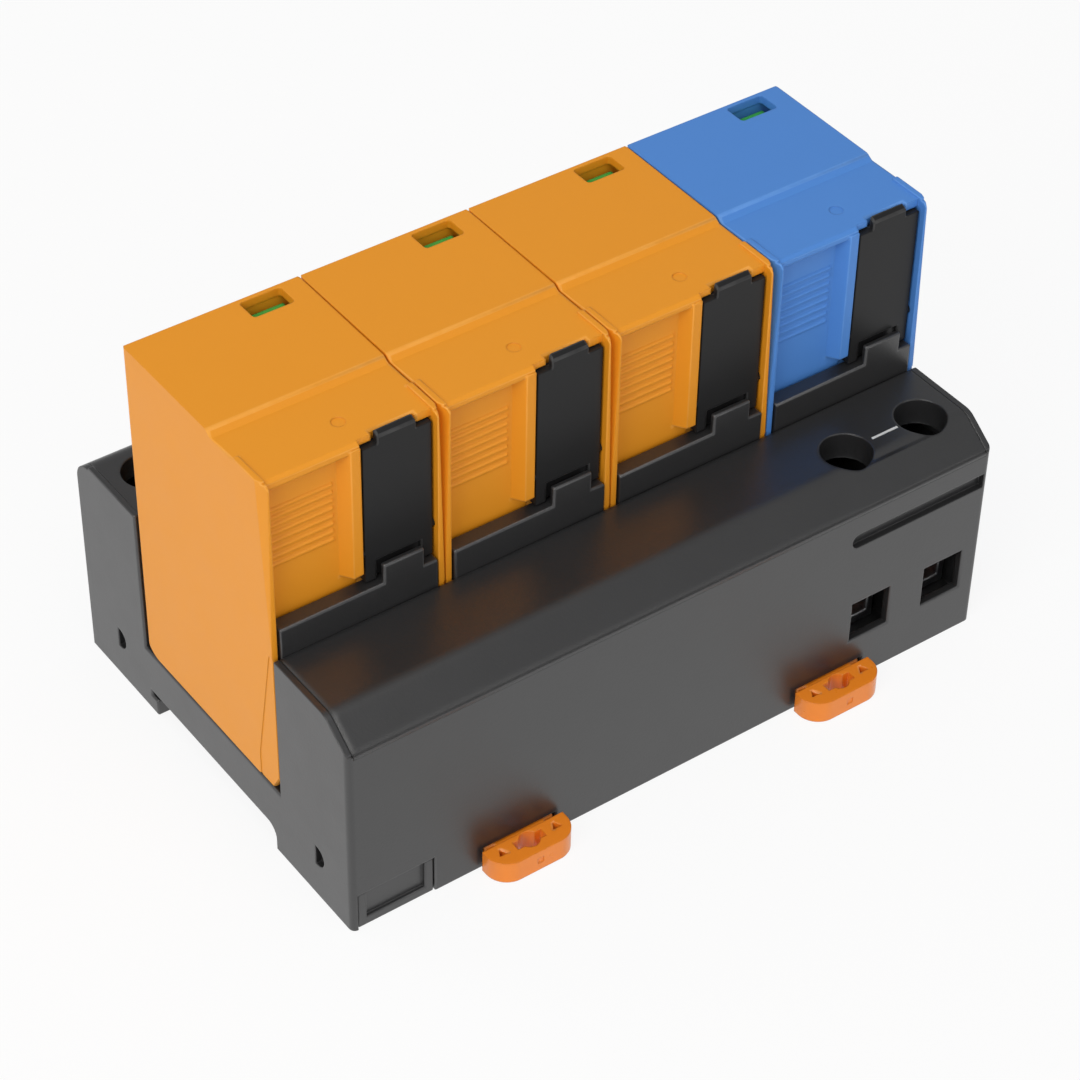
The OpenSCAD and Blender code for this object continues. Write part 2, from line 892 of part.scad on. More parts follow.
module module_housing(k) {
    mark = [1.9, mod_f + 7.9];
    color(k == poles ? shell_blue : shell_orange)
        difference() {
            union() {
                along_x(2 * half_w)
                    module_outline(core_f);
                for (side = [-1, 1])
                    module_flange(side);
                along_x(2 * half_w)
                    roof_lip();
                panel_lip();
                grip_ribs();
                top_rims();
            }
            for (side = [0, 1])
                mirror([side, 0, 0]) {
                    corner_bevel();
                    draft_step();
                    rear_corner();
                }
            lever_room();
            span([-cavity_x, cavity_x], [cavity_f, cavity_r], [mod_z - cut, roof_z]);
            window_hole();
            upright(mark[0], mark[1], [front_top - 0.2, front_top + cut], 1.3);
        }
}

// Foot of a module, let into the shell, with slots for the two blades
module module_base() {
    color(shell_black)
        difference() {
            span([-1, 1] * (cavity_x - fit_gap), [cavity_f + fit_gap, cavity_r - fit_gap],
                [mod_z, mod_z + cap_h]);
            for (y = [blade_f, blade_r])
                span(mid(0, blade_w + fit_gap), mid(y, blade_t + fit_gap),
                    [mod_z - cut, mod_z + cap_h + cut]);
        }
}

module contact_blades() {
    color(copper)
        for (y = [blade_f, blade_r])
            span(mid(0, blade_w), mid(y, blade_t), [blade_tip, element_z + blade_hold]);
}

module varistor() {
    color([0.16, 0.24, 0.42])
        span([-1, 1] * (cavity_x - 1.5), element_y, [element_z, element_top]);
}

// Encapsulated gap: a turned body with two electrode flanges
module spark_gap() {
    r = (element_y[1] - element_y[0]) / 2;
    flange_h = 5;
    color(steel)
        translate([0, (element_y[0] + element_y[1]) / 2, element_z])
            rotate_extrude($fn = round_fn)
                polygon([
                    [0, 0], [r, 0], [r, flange_h], [r - 2, flange_h],
                    [r - 2, element_h - flange_h], [r, element_h - flange_h], [r, element_h], [0, element_h]
                ]);
}

// Carrier under the window: its red top shows when the flag has moved away
module indicator_carrier() {
    half = window_w / 2 + 1;
    color([0.75, 0.12, 0.10])
        difference() {
            span(mid(lever_x, 2 * half), [window_y - flag_travel - 3, cavity_r - fit_gap],
                [element_top, carrier_top]);
            span(mid(lever_x, 2 * groove_half), [window_y - flag_travel - 0.4, cavity_r],
                [carrier_top - flag_rib - fit_gap, carrier_top + cut]);
        }
}

module indicator_flag() {
    half = window_w / 2 + 0.4;
    y = [window_y - 0.5, cavity_r - fit_gap];
    color([0.20, 0.62, 0.28]) {
        span(mid(lever_x, 2 * half), y, [flag_z, flag_top]);
        span(mid(lever_x, 2 * groove_half - 2 * fit_gap), y + [0.4, -0.4],
            [carrier_top - flag_rib + fit_gap, flag_z + flag_t / 2]);
    }
}

// Release lever: a plate on two pivot pins, recessed behind the guide wall's tongue,
// with a finger tab that stands up through the module's front edge
module tab_outline() {
    crease_z = front_top - 0.3;
    polygon([
        [lever_f, lever_top - cut],
        [lever_f, crease_z],
        [lever_f + tab_reach, crease_z + 0.8],
        [lever_f + tab_reach, lever_top - cut]
    ]);
}

module release_lever() {
    notch_half = tongue_half + 0.4;
    notch_top = guide_z + tongue_rise + 0.4;
    half = lever_w / 2;
    color(shell_black)
        translate([lever_x, 0, 0]) {
            difference() {
                span([-half, half], [lever_f, lever_b], [leg_z, lever_top]);
                span([-notch_half, notch_half], [lever_f - cut, lever_f + 0.7], [leg_z - cut, notch_top]);
            }
            along_x(tab_w)
                tab_outline();
            translate([0, pivot_y, pivot_z])
                rotate([0, 90, 0])
                    cylinder(r = pivot_r, h = 2 * (slot_half + pin_l), center = true, $fn = round_fn);
        }
}

in_place() base_housing();
in_place() front_cover();
in_place() rear_cover();
in_place() signal_bay_blank();
in_place() translate([-pole_w, 0, 0]) rail_foot();  // rail_foot_left
in_place() translate([pole_w, 0, 0]) rail_foot();  // rail_foot_right
in_place() neutral_busbar();
in_place() at_pole(poles) line_bar();  // earth_busbar
in_place() at_pole(poles) spark_gap();
for (k = [1 : poles - 1]) {
    in_place() at_pole(k) line_bar();
    in_place() at_pole(k) varistor();
}
for (i = [1 : clamps]) {
    place = [clamp_x(i), clamp_y(i), 0];
    in_place() translate(place) clamp_cage();
    in_place() translate(place) clamp_screw();
}
for (k = [1 : poles]) {
    in_place() at_pole(k) module_housing(k);
    in_place() at_pole(k) module_base();
    in_place() at_pole(k) contact_blades();
    in_place() at_pole(k) indicator_carrier();
    in_place() at_pole(k) indicator_flag();
    in_place() at_pole(k) release_lever();
}
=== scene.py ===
import json
import math

import bmesh
import bpy
from mathutils import Matrix, Vector
from mathutils.bvhtree import BVHTree
from mathutils.kdtree import KDTree


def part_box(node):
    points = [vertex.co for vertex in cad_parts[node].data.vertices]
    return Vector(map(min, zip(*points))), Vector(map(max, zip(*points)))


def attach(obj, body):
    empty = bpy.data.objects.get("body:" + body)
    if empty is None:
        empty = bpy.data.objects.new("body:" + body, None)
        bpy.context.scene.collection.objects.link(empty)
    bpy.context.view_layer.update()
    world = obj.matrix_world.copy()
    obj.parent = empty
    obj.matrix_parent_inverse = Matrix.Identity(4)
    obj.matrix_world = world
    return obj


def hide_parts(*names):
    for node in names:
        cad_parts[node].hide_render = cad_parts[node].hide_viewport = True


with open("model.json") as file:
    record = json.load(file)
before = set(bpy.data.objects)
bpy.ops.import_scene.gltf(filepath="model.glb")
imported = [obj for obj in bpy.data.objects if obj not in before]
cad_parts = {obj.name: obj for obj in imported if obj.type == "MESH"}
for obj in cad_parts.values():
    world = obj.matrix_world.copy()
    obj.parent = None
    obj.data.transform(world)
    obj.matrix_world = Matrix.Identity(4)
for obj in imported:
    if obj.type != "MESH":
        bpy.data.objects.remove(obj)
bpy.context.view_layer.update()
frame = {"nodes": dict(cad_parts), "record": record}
scene = bpy.context.scene
scene.view_settings.view_transform = "Standard"
cadNodes = frame["nodes"]
bodyOf = {n: body for body, names in frame["record"]["behaviour"]["bodies"].items() for n in names}
slotOf = {part["node"]: part["material_slot"] for part in frame["record"]["subparts"]}
mm = 0.001
print("frame loaded,", len(cadNodes), "nodes")

photoCamera = {
    "azimuth": -36.41,
    "elevation": 41.0,
    "roll": 1.12,
    "distance": 579 * mm,
    "target": (-10.61 * mm, -12.17 * mm, 39.47 * mm),
    "lens": 107.27,
    "sensor": 36,
    "nearest": 20 * mm,
}


def addCamera(spec):
    az, el, roll = (math.radians(spec[key]) for key in ("azimuth", "elevation", "roll"))
    back = Vector((math.sin(az) * math.cos(el), -math.cos(az) * math.cos(el), math.sin(el)))
    right = Vector((math.cos(az), math.sin(az), 0))
    up = back.cross(right)
    rolledRight = right * math.cos(roll) + up * math.sin(roll)
    rolledUp = up * math.cos(roll) - right * math.sin(roll)
    data = bpy.data.cameras.new("photoCamera")
    data.lens = spec["lens"]
    data.sensor_width = spec["sensor"]
    data.clip_start = spec["nearest"]
    view = bpy.data.objects.new("photoCamera", data)
    scene.collection.objects.link(view)
    view.matrix_world = (Matrix.Translation(Vector(spec["target"]) + back * spec["distance"])
                         @ Matrix((rolledRight, rolledUp, back)).transposed().to_4x4())
    scene.camera = view


addCamera(photoCamera)

studio = {
    "floorColor": (0.90, 0.90, 0.90),
    "floorSize": 6.0,
    "floorRough": 0.9,
    "floorGloss": 0.1,
    "floorGlow": 0.88,
    "sky": (0.97, 0.98, 1.0),
    "skyStrength": 0.4,
    "aim": (0, 0, 40 * mm),
    "lamps": {
        "keyLamp": {"place": (-1.00, -0.45, 0.78), "size": 0.7, "power": 5.9, "color": (1.0, 0.98, 0.95)},
        "topLamp": {"place": (-0.25, -0.32, 1.15), "size": 0.9, "power": 4.0, "color": (1.0, 0.99, 0.97)},
        "frontLamp": {"place": (0.30, -1.10, 0.50), "size": 0.6, "power": 1.8, "color": (1.0, 0.98, 0.96)},
        "backLamp": {"place": (-0.60, 1.00, 0.60), "size": 0.6, "power": 1.8, "color": (1.0, 0.99, 0.97)},
    },
}


# Lit floor with some white of its own where it is seen directly, in a reflection or through a clear piece
def paleFloor(spec):
    material = bpy.data.materials.new("paleFloor")
    material.use_nodes = True
    tree = material.node_tree
    shader = tree.nodes["Principled BSDF"]
    shader.inputs["Base Color"].default_value = (*spec["floorColor"], 1)
    shader.inputs["Roughness"].default_value = spec["floorRough"]
    shader.inputs["Specular IOR Level"].default_value = spec["floorGloss"]
    ray = tree.nodes.new("ShaderNodeLightPath")
    white = tree.nodes.new("ShaderNodeEmission")
    blend = tree.nodes.new("ShaderNodeMixShader")
    seen = ray.outputs["Is Camera Ray"]
    for label in ("Is Glossy Ray", "Is Transmission Ray"):
        either = tree.nodes.new("ShaderNodeMath")
        either.operation = "MAXIMUM"
        tree.links.new(seen, either.inputs[0])
        tree.links.new(ray.outputs[label], either.inputs[1])
        seen = either.outputs["Value"]
    share = tree.nodes.new("ShaderNodeMath")
    share.operation = "MULTIPLY"
    share.inputs[1].default_value = spec["floorGlow"]
    tree.links.new(seen, share.inputs[0])
    tree.links.new(share.outputs["Value"], blend.inputs["Fac"])
    tree.links.new(shader.outputs["BSDF"], blend.inputs[1])
    tree.links.new(white.outputs["Emission"], blend.inputs[2])
    tree.links.new(blend.outputs["Shader"], tree.nodes["Material Output"].inputs["Surface"])
    return material


def addStudio(spec):
    world = bpy.data.worlds.new("studioSky")
    scene.world = world
    world.use_nodes = True
    tree = world.node_tree
    sky = tree.nodes["Background"]
    sky.inputs["Color"].default_value = (*spec["sky"], 1)
    sky.inputs["Strength"].default_value = spec["skyStrength"]
    aim = Vector(spec["aim"])
    for name, lamp in spec["lamps"].items():
        data = bpy.data.lights.new(name, "AREA")
        data.size = lamp["size"]
        data.energy = lamp["power"]
        data.color = lamp["color"]
        light = bpy.data.objects.new(name, data)
        scene.collection.objects.link(light)
        light.location = lamp["place"]
        light.rotation_euler = (aim - Vector(lamp["place"])).to_track_quat("-Z", "Y").to_euler()
    mesh = bpy.data.meshes.new("studioFloor")
    half = spec["floorSize"] / 2
    corners = [(-half, -half, 0), (half, -half, 0), (half, half, 0), (-half, half, 0)]
    mesh.from_pydata(corners, [], [(0, 1, 2, 3)])
    floor = bpy.data.objects.new("studioFloor", mesh)
    scene.collection.objects.link(floor)
    mesh.materials.append(paleFloor(spec))


addStudio(studio)
print("camera, lamps and floor set")


# Shared effects, each one group with named inputs and outputs
noiseRange = (0.3, 0.7)     # most of a noise's values lie between these
grainRoughness = 0.55
# least strength of the painted edge highlight, where its noise is low
thinnestHighlight = 0.45


def newGroup(name, inputs, outputs):
    tree = bpy.data.node_groups.new(name, "ShaderNodeTree")
    for label, start in inputs.items():
        socket = tree.interface.new_socket(label, in_out="INPUT", socket_type="NodeSocketFloat")
        socket.default_value = start
    for label in outputs:
        tree.interface.new_socket(label, in_out="OUTPUT", socket_type="NodeSocketFloat")
    return tree, tree.nodes.new("NodeGroupInput"), tree.nodes.new("NodeGroupOutput")


def mouldGrainGroup():
    tree, given, result = newGroup("mouldGrain", {"Grain": 2500, "Clouds": 160}, ("Height", "Tone"))
    place = tree.nodes.new("ShaderNodeTexCoord")
    for label, output, detail in (("Grain", "Height", 3), ("Clouds", "Tone", 4)):
        noise = tree.nodes.new("ShaderNodeTexNoise")
        noise.inputs["Detail"].default_value = detail
        noise.inputs["Roughness"].default_value = grainRoughness
        tree.links.new(place.outputs["Object"], noise.inputs["Vector"])
        tree.links.new(given.outputs[label], noise.inputs["Scale"])
        tree.links.new(noise.outputs["Fac"], result.inputs[output])
    return tree


# Painted highlight: a noisy mask over the faces of the rounded edges, where a lighter colour is laid
def paintedHighlightGroup():
    tree, given, result = newGroup("edgeSheen", {"Break": 400, "Amount": 1}, ("Mask",))
    place = tree.nodes.new("ShaderNodeTexCoord")
    noise = tree.nodes.new("ShaderNodeTexNoise")
    noise.inputs["Detail"].default_value = 2
    spread = tree.nodes.new("ShaderNodeMapRange")
    spread.inputs["From Min"].default_value, spread.inputs["From Max"].default_value = noiseRange
    spread.inputs["To Min"].default_value = thinnestHighlight
    edge = tree.nodes.new("ShaderNodeAttribute")
    edge.attribute_name = "edgeMask"
    broken = tree.nodes.new("ShaderNodeMath")
    broken.operation = "MULTIPLY"
    scaled = tree.nodes.new("ShaderNodeMath")
    scaled.operation = "MULTIPLY"
    tree.links.new(place.outputs["Object"], noise.inputs["Vector"])
    tree.links.new(given.outputs["Break"], noise.inputs["Scale"])
    tree.links.new(noise.outputs["Fac"], spread.inputs["Value"])
    tree.links.new(spread.outputs["Result"], broken.inputs[0])
    tree.links.new(edge.outputs["Fac"], broken.inputs[1])
    tree.links.new(broken.outputs["Value"], scaled.inputs[0])
    tree.links.new(given.outputs["Amount"], scaled.inputs[1])
    tree.links.new(scaled.outputs["Value"], result.inputs["Mask"])
    return tree


def rolledMarksGroup():
    tree, given, result = newGroup("rolledMarks", {"Across": 3000, "Along": 120}, ("Height", "Tone"))
    place = tree.nodes.new("ShaderNodeTexCoord")
    stretch = tree.nodes.new("ShaderNodeCombineXYZ")
    mapping = tree.nodes.new("ShaderNodeMapping")
    tree.links.new(given.outputs["Along"], stretch.inputs["X"])
    tree.links.new(given.outputs["Across"], stretch.inputs["Y"])
    tree.links.new(given.outputs["Across"], stretch.inputs["Z"])
    tree.links.new(stretch.outputs["Vector"], mapping.inputs["Scale"])
    tree.links.new(place.outputs["Object"], mapping.inputs["Vector"])
    for output, scale, detail in (("Height", 1, 3), ("Tone", 0.05, 2)):
        noise = tree.nodes.new("ShaderNodeTexNoise")
        noise.inputs["Scale"].default_value = scale
        noise.inputs["Detail"].default_value = detail
        tree.links.new(mapping.outputs["Vector"], noise.inputs["Vector"])
        tree.links.new(noise.outputs["Fac"], result.inputs[output])
    return tree


def printedLineGroup():
    tree, given, result = newGroup(
        "printedLine", {"Left": 0, "Right": 0.01, "Middle": 0, "Width": 0.001, "Foot": 0}, ("Mask",))
    place = tree.nodes.new("ShaderNodeTexCoord")
    split = tree.nodes.new("ShaderNodeSeparateXYZ")
    tree.links.new(place.outputs["Object"], split.inputs["Vector"])

    def math2(kind, a, b):
        node = tree.nodes.new("ShaderNodeMath")
        node.operation = kind
        for socket, value in zip(node.inputs, (a, b)):
            if isinstance(value, (int, float)):
                socket.default_value = value
            else:
                tree.links.new(value, socket)
        return node.outputs["Value"]

    offset = math2("ABSOLUTE", math2("SUBTRACT", split.outputs["Y"], given.outputs["Middle"]), 0)
    thin = math2("LESS_THAN", offset, math2("DIVIDE", given.outputs["Width"], 2))
    after = math2("GREATER_THAN", split.outputs["X"], given.outputs["Left"])
    before = math2("LESS_THAN", split.outputs["X"], given.outputs["Right"])
    high = math2("GREATER_THAN", split.outputs["Z"], given.outputs["Foot"])
    mask = math2("MULTIPLY", math2("MULTIPLY", thin, after), math2("MULTIPLY", before, high))
    tree.links.new(mask, result.inputs["Mask"])
    return tree


mouldGrain = mouldGrainGroup()
edgeSheen = paintedHighlightGroup()
rolledMarks = rolledMarksGroup()
printedLine = printedLineGroup()
print("shader groups made")

grainDepth = 0.02 * mm
edgeRays = 6
softEdge = 0.4 * mm
# Painted edge highlight: noise scale and strength of the lighter colour on rounded edges, for plastics and
# metals
plasticHighlight = {"Break": 350, "Amount": 0.5}
metalHighlight = {"Break": 500, "Amount": 0.6}


def placeGroup(tree, group, values):
    node = tree.nodes.new("ShaderNodeGroup")
    node.node_tree = group
    for label, value in values.items():
        node.inputs[label].default_value = value
    return node


def mixColors(tree, mask, first, second):
    mix = tree.nodes.new("ShaderNodeMix")
    mix.data_type = "RGBA"
    tree.links.new(mask, mix.inputs["Factor"])
    for socket, value in ((mix.inputs[6], first), (mix.inputs[7], second)):     # its colour sockets
        if isinstance(value, tuple):
            socket.default_value = (*value, 1)
        else:
            tree.links.new(value, socket)
    return mix.outputs[2]


def newSurface(name, finish):
    material = bpy.data.materials.new(name)
    material.use_nodes = True
    tree = material.node_tree
    shader = tree.nodes["Principled BSDF"]
    shader.inputs["Specular IOR Level"].default_value = finish.get("specular", 0.5)
    shader.inputs["Metallic"].default_value = finish.get("metal", 0)
    return material, tree, shader


# Value that falls from wide to narrow between two places along X
def fadeAlong(tree, fade):
    place = tree.nodes.new("ShaderNodeTexCoord")
    split = tree.nodes.new("ShaderNodeSeparateXYZ")
    ramp = tree.nodes.new("ShaderNodeMapRange")
    ramp.interpolation_type = "SMOOTHSTEP"
    ramp.inputs["From Min"].default_value, ramp.inputs["From Max"].default_value = fade["between"]
    ramp.inputs["To Min"].default_value = fade["wide"]
    ramp.inputs["To Max"].default_value = fade["narrow"]
    tree.links.new(place.outputs["Object"], split.inputs["Vector"])
    tree.links.new(split.outputs["X"], ramp.inputs["Value"])
    return ramp.outputs["Result"]


def finishSurface(tree, shader, marks, finish, color):
    rough = tree.nodes.new("ShaderNodeMapRange")
    rough.inputs["From Min"].default_value, rough.inputs["From Max"].default_value = noiseRange
    rough.inputs["To Min"].default_value, rough.inputs["To Max"].default_value = finish["rough"]
    tree.links.new(marks.outputs["Tone"], rough.inputs["Value"])
    tree.links.new(rough.outputs["Result"], shader.inputs["Roughness"])
    bump = tree.nodes.new("ShaderNodeBump")
    bump.inputs["Strength"].default_value = finish["bump"]
    bump.inputs["Distance"].default_value = grainDepth
    soft = tree.nodes.new("ShaderNodeBevel")
    soft.samples = edgeRays
    soft.inputs["Radius"].default_value = finish.get("round", softEdge)
    if "fade" in finish:
        tree.links.new(fadeAlong(tree, finish["fade"]), soft.inputs["Radius"])
    tree.links.new(soft.outputs["Normal"], bump.inputs["Normal"])
    tree.links.new(marks.outputs["Height"], bump.inputs["Height"])
    tree.links.new(bump.outputs["Normal"], shader.inputs["Normal"])
    tree.links.new(color, shader.inputs["Base Color"])


def mouldedPlastic(name, finish):
    material, tree, shader = newSurface(name, finish)
    grain = placeGroup(tree, mouldGrain, {"Grain": finish["grain"], "Clouds": finish.get("clouds", 160)})
    # The rounded edges take the lighter edge colour: a painted highlight
    edgeHighlight = placeGroup(tree, edgeSheen, plasticHighlight)
    color = mixColors(tree, grain.outputs["Tone"], finish["dark"], finish["light"])
    color = mixColors(tree, edgeHighlight.outputs["Mask"], color, finish["edge"])
    if "line" in finish:
        mark = placeGroup(tree, printedLine, finish["line"])
        color = mixColors(tree, mark.outputs["Mask"], color, finish["ink"])
    finishSurface(tree, shader, grain, finish, color)
    return material


def workedMetal(name, finish):
    material, tree, shader = newSurface(name, finish)
    marks = placeGroup(tree, rolledMarks, {"Across": finish["across"], "Along": finish["along"]})
    # The rounded edges take the lighter edge colour: a painted highlight
    edgeHighlight = placeGroup(tree, edgeSheen, metalHighlight)
    color = mixColors(tree, marks.outputs["Tone"], finish["dark"], finish["light"])
    color = mixColors(tree, edgeHighlight.outputs["Mask"], color, finish["edge"])
    finishSurface(tree, shader, marks, finish, color)
    return material


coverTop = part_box("front_cover")[1].z
coverFade = {"between": (34 * mm, 43 * mm), "wide": 1.8 * mm, "narrow": 0.6 * mm}
neutralLine = {"Left": 50.7 * mm, "Right": 56.8 * mm, "Middle": -30.95 * mm, "Width": 0.55 * mm,
               "Foot": coverTop - 0.1 * mm}

# Each finish's edge colour is a painted highlight, laid on its rounded edges
plastics = {
    "black_plastic": {"dark": (0.0195, 0.0195, 0.0202), "light": (0.0210, 0.0210, 0.0218),
                      "edge": (0.055, 0.055, 0.057), "specular": 0.85, "rough": (0.35, 0.38), "grain": 2000,
                      "bump": 1.0},
    "black_lever": {"dark": (0.0180, 0.0180, 0.0185), "light": (0.0192, 0.0192, 0.0197),
                    "edge": (0.100, 0.100, 0.100), "specular": 0.16, "rough": (0.29, 0.31), "grain": 2600,
                    "bump": 0.15},
    "orange_shell": {"dark": (0.842, 0.312, 0.013), "light": (0.852, 0.319, 0.015),
                     "edge": (0.92, 0.44, 0.09), "specular": 0.35, "rough": (0.44, 0.48), "grain": 2600,
                     "bump": 0.3},
    "orange_foot": {"dark": (0.920, 0.256, 0.016), "light": (0.930, 0.264, 0.019), "edge": (0.90, 0.38, 0.12),
                    "rough": (0.27, 0.31), "grain": 2600, "bump": 0.15},
    "blue_shell": {"dark": (0.078, 0.252, 0.67), "light": (0.082, 0.260, 0.69), "edge": (0.16, 0.37, 0.80),
                   "specular": 0.35, "rough": (0.44, 0.48), "grain": 2600, "bump": 0.3},
    "red_plastic": {"dark": (0.50, 0.015, 0.015), "light": (0.56, 0.020, 0.018), "edge": (0.70, 0.10, 0.08),
                    "rough": (0.35, 0.45), "grain": 2400, "bump": 0.25},
    "green_plastic": {"dark": (0.060, 0.46, 0.080), "light": (0.070, 0.50, 0.090), "edge": (0.16, 0.60, 0.20),
                      "rough": (0.22, 0.32), "grain": 2600, "bump": 0.15},
    "varistor_coat": {"dark": (0.020, 0.045, 0.15), "light": (0.032, 0.065, 0.20), "edge": (0.06, 0.10, 0.26),
                      "rough": (0.15, 0.28), "grain": 700, "bump": 0.6, "clouds": 90},
}
# Each finish's edge colour is a painted highlight, laid on its rounded edges
metals = {
    "contact_copper": {"dark": (0.62, 0.30, 0.16), "light": (0.78, 0.42, 0.25), "edge": (0.90, 0.60, 0.42),
                       "rough": (0.26, 0.40), "across": 3200, "along": 90, "bump": 0.25, "metal": 1},
    "zinc_steel": {"dark": (0.46, 0.47, 0.49), "light": (0.60, 0.61, 0.63), "edge": (0.78, 0.79, 0.80),
                   "rough": (0.30, 0.45), "across": 1600, "along": 500, "bump": 0.2, "metal": 1},
    "gap_steel": {"dark": (0.38, 0.39, 0.41), "light": (0.52, 0.53, 0.55), "edge": (0.72, 0.73, 0.74),
                  "rough": (0.24, 0.38), "across": 2600, "along": 2600, "bump": 0.2, "metal": 1},
}


def finishName(slot):
    first, *rest = slot.split("_")
    return first + "".join(word.capitalize() for word in rest)


surfaces = {slot: mouldedPlastic(finishName(slot), finish) for slot, finish in plastics.items()}
surfaces.update({slot: workedMetal(finishName(slot), finish) for slot, finish in metals.items()})
surfaces["rear_cover"] = mouldedPlastic("rearCoverPlastic", {**plastics["black_plastic"], "round": 0.8 * mm})
surfaces["front_cover"] = mouldedPlastic(
    "frontCoverPlastic",
    {**plastics["black_plastic"], "fade": coverFade, "line": neutralLine, "ink": (0.70, 0.70, 0.68)})
print("finishes made:", len(surfaces))


# A node's solid with its outer edges rounded; edges in tight places get a smaller radius
ridgeAngle = math.radians(28)
sharpAngle = math.radians(42)
flatAngle = math.radians(0.6)
roomShare = 0.38
leastShare = 0.2
foldLimit = 0.2
strayShare = 0.6
roundSteps = 2
easings = 4
curvedShare = 0.5
weldGap = 0.001 * mm


def edgeRoom(edge):
    start = edge.verts[0].co
    along = (edge.verts[1].co - start).normalized()
    spots = [other.other_vert(vert).co
             for vert in edge.verts for other in vert.link_edges if other is not edge]
    for face in edge.link_faces:
        spots += [vert.co for vert in face.verts
                  if vert not in edge.verts and 0 <= (vert.co - start).dot(along) <= edge.calc_length()]
    room = math.inf
    for spot in spots:
        across = (spot - start - along * (spot - start).dot(along)).length
        if across > weldGap:
            room = min(room, across)
    return room


def isCurved(face):
    soft = sum(edge.calc_length() for edge in face.edges
               if edge.is_manifold and flatAngle < edge.calc_face_angle(0) < ridgeAngle)
    return soft > curvedShare * face.calc_perimeter()


def weightedCopy(node, radius, shape=None):
    bm = bmesh.new()
    bm.from_mesh(cadNodes[node].data)
    bmesh.ops.remove_doubles(bm, verts=bm.verts, dist=weldGap)
    bmesh.ops.dissolve_limit(bm, angle_limit=flatAngle, verts=bm.verts, edges=bm.edges)
    if shape:
        shape(bm)
        bm.normal_update()
    for face in bm.faces:
        face.smooth = isCurved(face)
    bmesh.ops.triangulate(bm, faces=[face for face in bm.faces if len(face.verts) > 4])
    weights = bm.edges.layers.float.new("bevel_weight_edge")
    for edge in bm.edges:
        if not edge.is_manifold or not edge.is_convex or edge.calc_face_angle(0) < ridgeAngle:
            continue
        share = min(1, roomShare * edgeRoom(edge) / radius)
        if share > leastShare:
            edge[weights] = share
    mesh = bpy.data.meshes.new(node)
    bm.to_mesh(mesh)
    solid = BVHTree.FromBMesh(bm)
    bm.free()
    return mesh, solid


def evaluatedMesh(piece):
    depsgraph = bpy.context.evaluated_depsgraph_get()
    return bpy.data.meshes.new_from_object(piece.evaluated_get(depsgraph), depsgraph=depsgraph)


# Corners of rounded faces that fold over or leave the solid
def foldedCorners(rounded, solid, radius):
    rounded.calc_loop_triangles()
    corners = []
    for triangle in rounded.loop_triangles:
        places = [rounded.vertices[index].co for index in triangle.vertices]
        normal = (places[1] - places[0]).cross(places[2] - places[0]).normalized()
        _, direction, _, gap = solid.find_nearest(sum(places, Vector()) / 3)
        if gap > strayShare * radius or normal.dot(direction) < foldLimit:
            corners += places
    return corners


def easeEdges(mesh, corners):
    tree = KDTree(len(mesh.vertices))
    for vert in mesh.vertices:
        tree.insert(vert.co, vert.index)
    tree.balance()
    tight = {tree.find(corner)[1] for corner in corners}
    weights = mesh.attributes["bevel_weight_edge"].data
    for edge in mesh.edges:
        if tight & set(edge.vertices):
            weights[edge.index].value = 0


def roundEdges(piece, radius, solid):
    rounding = piece.modifiers.new("rounding", "BEVEL")
    rounding.limit_method = "WEIGHT"
    rounding.width = radius
    rounding.segments = roundSteps
    rounding.use_clamp_overlap = False
    rounding.loop_slide = False
    rounding.material = 1
    for trial in range(easings):
        rounded = evaluatedMesh(piece)
        corners = foldedCorners(rounded, solid, radius)
        if not corners:
            break
        easeEdges(piece.data, corners)
    piece.modifiers.clear()
    return rounded, len(corners) // 3


def dress(node, radius, shape=None, material=None):
    finish = material or surfaces[slotOf[node]]
    mesh, solid = weightedCopy(node, radius, shape)
    mesh.materials.append(finish)
    mesh.materials.append(finish)
    piece = bpy.data.objects.new(finishName(node), mesh)
    scene.collection.objects.link(piece)
    rounded, left = roundEdges(piece, radius, solid)
    if left:
        print(node, "keeps", left, "folded triangles")
    smooth = [face.use_smooth or face.material_index == 1 for face in rounded.polygons]
    # Faces of the rounding are marked in edgeMask, which places the painted edge highlight
    onEdge = [float(face.material_index) for face in rounded.polygons for _ in face.loop_indices]
    mask = rounded.attributes.new("edgeMask", "FLOAT", "CORNER")
    mask.data.foreach_set("value", onEdge)
    rounded.polygons.foreach_set("material_index", [0] * len(rounded.polygons))
    rounded.set_sharp_from_angle(angle=sharpAngle)
    rounded.polygons.foreach_set("use_smooth", smooth)
    rounded.materials.pop(index=1)
    piece.data = rounded
    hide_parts(node)
    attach(piece, bodyOf[node])
    return piece


edgeRadii = {
    "base_housing": 0.35 * mm,
    "front_cover": 0.4 * mm,
    "rear_cover": 0.4 * mm,
    "signal_bay_blank": 0.25 * mm,
    "rail_foot": 0.4 * mm,
    "module_housing": 0.5 * mm,
    "module_base": 0.3 * mm,
    "release_lever": 0.4 * mm,
    "indicator_flag": 0.2 * mm,
    "indicator_carrier": 0.3 * mm,
    "varistor": 1.2 * mm,
    "spark_gap": 0.5 * mm,
    "contact_blades": 0.3 * mm,
    "busbar": 0.25 * mm,
    "clamp_cage": 0.3 * mm,
}

for node in sorted(cadNodes):
    if node.startswith("clamp_screw"):
        continue
    radius = next(size for key, size in edgeRadii.items() if key in node)
    dress(node, radius, material=surfaces.get(node))
print("edges rounded")


# Clamp screws: the shank is drawn in to its core and a thread runs round it
clampScrew = {
    "shank": 3.0 * mm,
    "core": 2.5 * mm,
    "thread": 0.46 * mm,
    "pitch": 1.0 * mm,
    "rise": 9 * mm,
    "start": 1.2 * mm,
    "edge": 0.25 * mm,
    "slack": 0.05 * mm,
    "turnSteps": 28,
    "crestSides": 4,
}


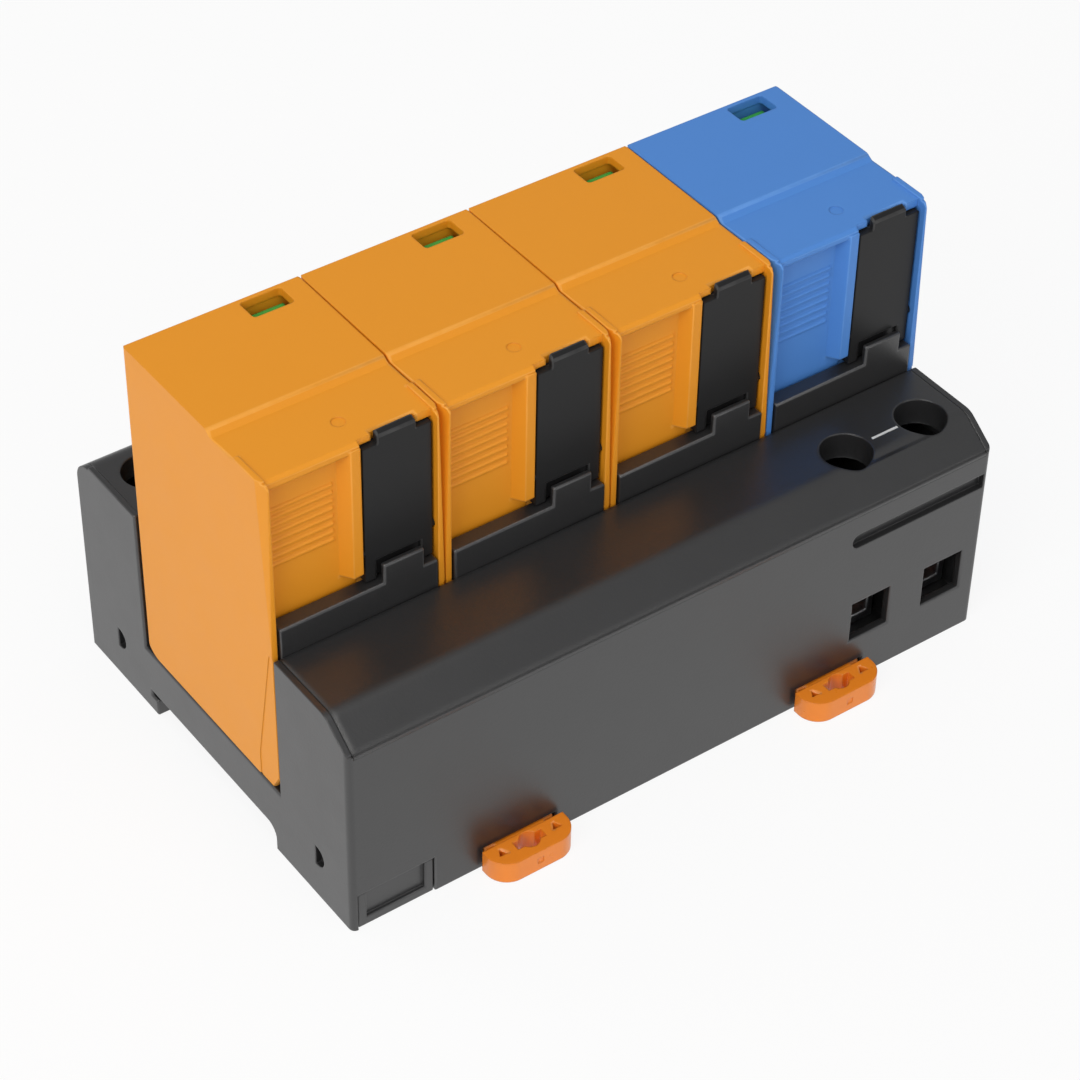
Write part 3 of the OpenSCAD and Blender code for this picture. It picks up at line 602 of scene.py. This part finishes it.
def threadTree(spec):
    tree = bpy.data.node_groups.new("screwThread", "GeometryNodeTree")
    face = tree.interface
    for label in ("Radius", "Crest", "Turns", "Rise"):
        face.new_socket(label, in_out="INPUT", socket_type="NodeSocketFloat")
    face.new_socket("Place", in_out="INPUT", socket_type="NodeSocketVector")
    face.new_socket("Finish", in_out="INPUT", socket_type="NodeSocketMaterial")
    face.new_socket("Geometry", in_out="OUTPUT", socket_type="NodeSocketGeometry")
    given = tree.nodes.new("NodeGroupInput")
    result = tree.nodes.new("NodeGroupOutput")
    helix = tree.nodes.new("GeometryNodeCurveSpiral")
    helix.inputs["Resolution"].default_value = spec["turnSteps"]
    profile = tree.nodes.new("GeometryNodeCurvePrimitiveCircle")
    profile.inputs["Resolution"].default_value = spec["crestSides"]
    sweep = tree.nodes.new("GeometryNodeCurveToMesh")
    sweep.inputs["Fill Caps"].default_value = True
    move = tree.nodes.new("GeometryNodeTransform")
    real = tree.nodes.new("GeometryNodeRealizeInstances")
    paint = tree.nodes.new("GeometryNodeSetMaterial")
    link = tree.links.new
    link(given.outputs["Turns"], helix.inputs["Rotations"])
    link(given.outputs["Radius"], helix.inputs["Start Radius"])
    link(given.outputs["Radius"], helix.inputs["End Radius"])
    link(given.outputs["Rise"], helix.inputs["Height"])
    link(given.outputs["Crest"], profile.inputs["Radius"])
    link(helix.outputs["Curve"], sweep.inputs["Curve"])
    link(profile.outputs["Curve"], sweep.inputs["Profile Curve"])
    link(sweep.outputs["Mesh"], move.inputs["Geometry"])
    link(given.outputs["Place"], move.inputs["Translation"])
    link(move.outputs["Geometry"], real.inputs["Geometry"])
    link(real.outputs["Geometry"], paint.inputs["Geometry"])
    link(given.outputs["Finish"], paint.inputs["Material"])
    link(paint.outputs["Geometry"], result.inputs["Geometry"])
    return tree


def grownPiece(name, tree, values, body):
    piece = bpy.data.objects.new(name, bpy.data.meshes.new(name))
    scene.collection.objects.link(piece)
    modifier = piece.modifiers.new("grow", "NODES")
    modifier.node_group = tree
    for item in tree.interface.items_tree:
        if item.in_out == "INPUT" and item.name in values:
            modifier[item.identifier] = values[item.name]
    mesh = evaluatedMesh(piece)
    piece.modifiers.clear()
    piece.data = mesh
    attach(piece, body)
    return piece


def drawInShank(bm, middle, spec):
    for vert in bm.verts:
        flat = Vector((vert.co.x - middle.x, vert.co.y - middle.y))
        if abs(flat.length - spec["shank"]) < spec["slack"]:
            scaled = flat * (spec["core"] / flat.length)
            vert.co.x, vert.co.y = middle.x + scaled.x, middle.y + scaled.y


def addScrews(spec):
    tree = threadTree(spec)
    steel = surfaces["zinc_steel"]
    for node in sorted(n for n in cadNodes if n.startswith("clamp_screw")):
        low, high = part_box(node)
        middle = (low + high) / 2
        dress(node, spec["edge"], shape=lambda bm: drawInShank(bm, middle, spec))
        thread = {
            "Radius": spec["core"],
            "Crest": spec["thread"],
            "Turns": spec["rise"] / spec["pitch"],
            "Rise": spec["rise"],
            "Place": (middle.x, middle.y, low.z + spec["start"]),
            "Finish": steel,
        }
        grownPiece(finishName(node) + "Thread", tree, thread, bodyOf[node])


addScrews(clampScrew)
print("clamp screws threaded")
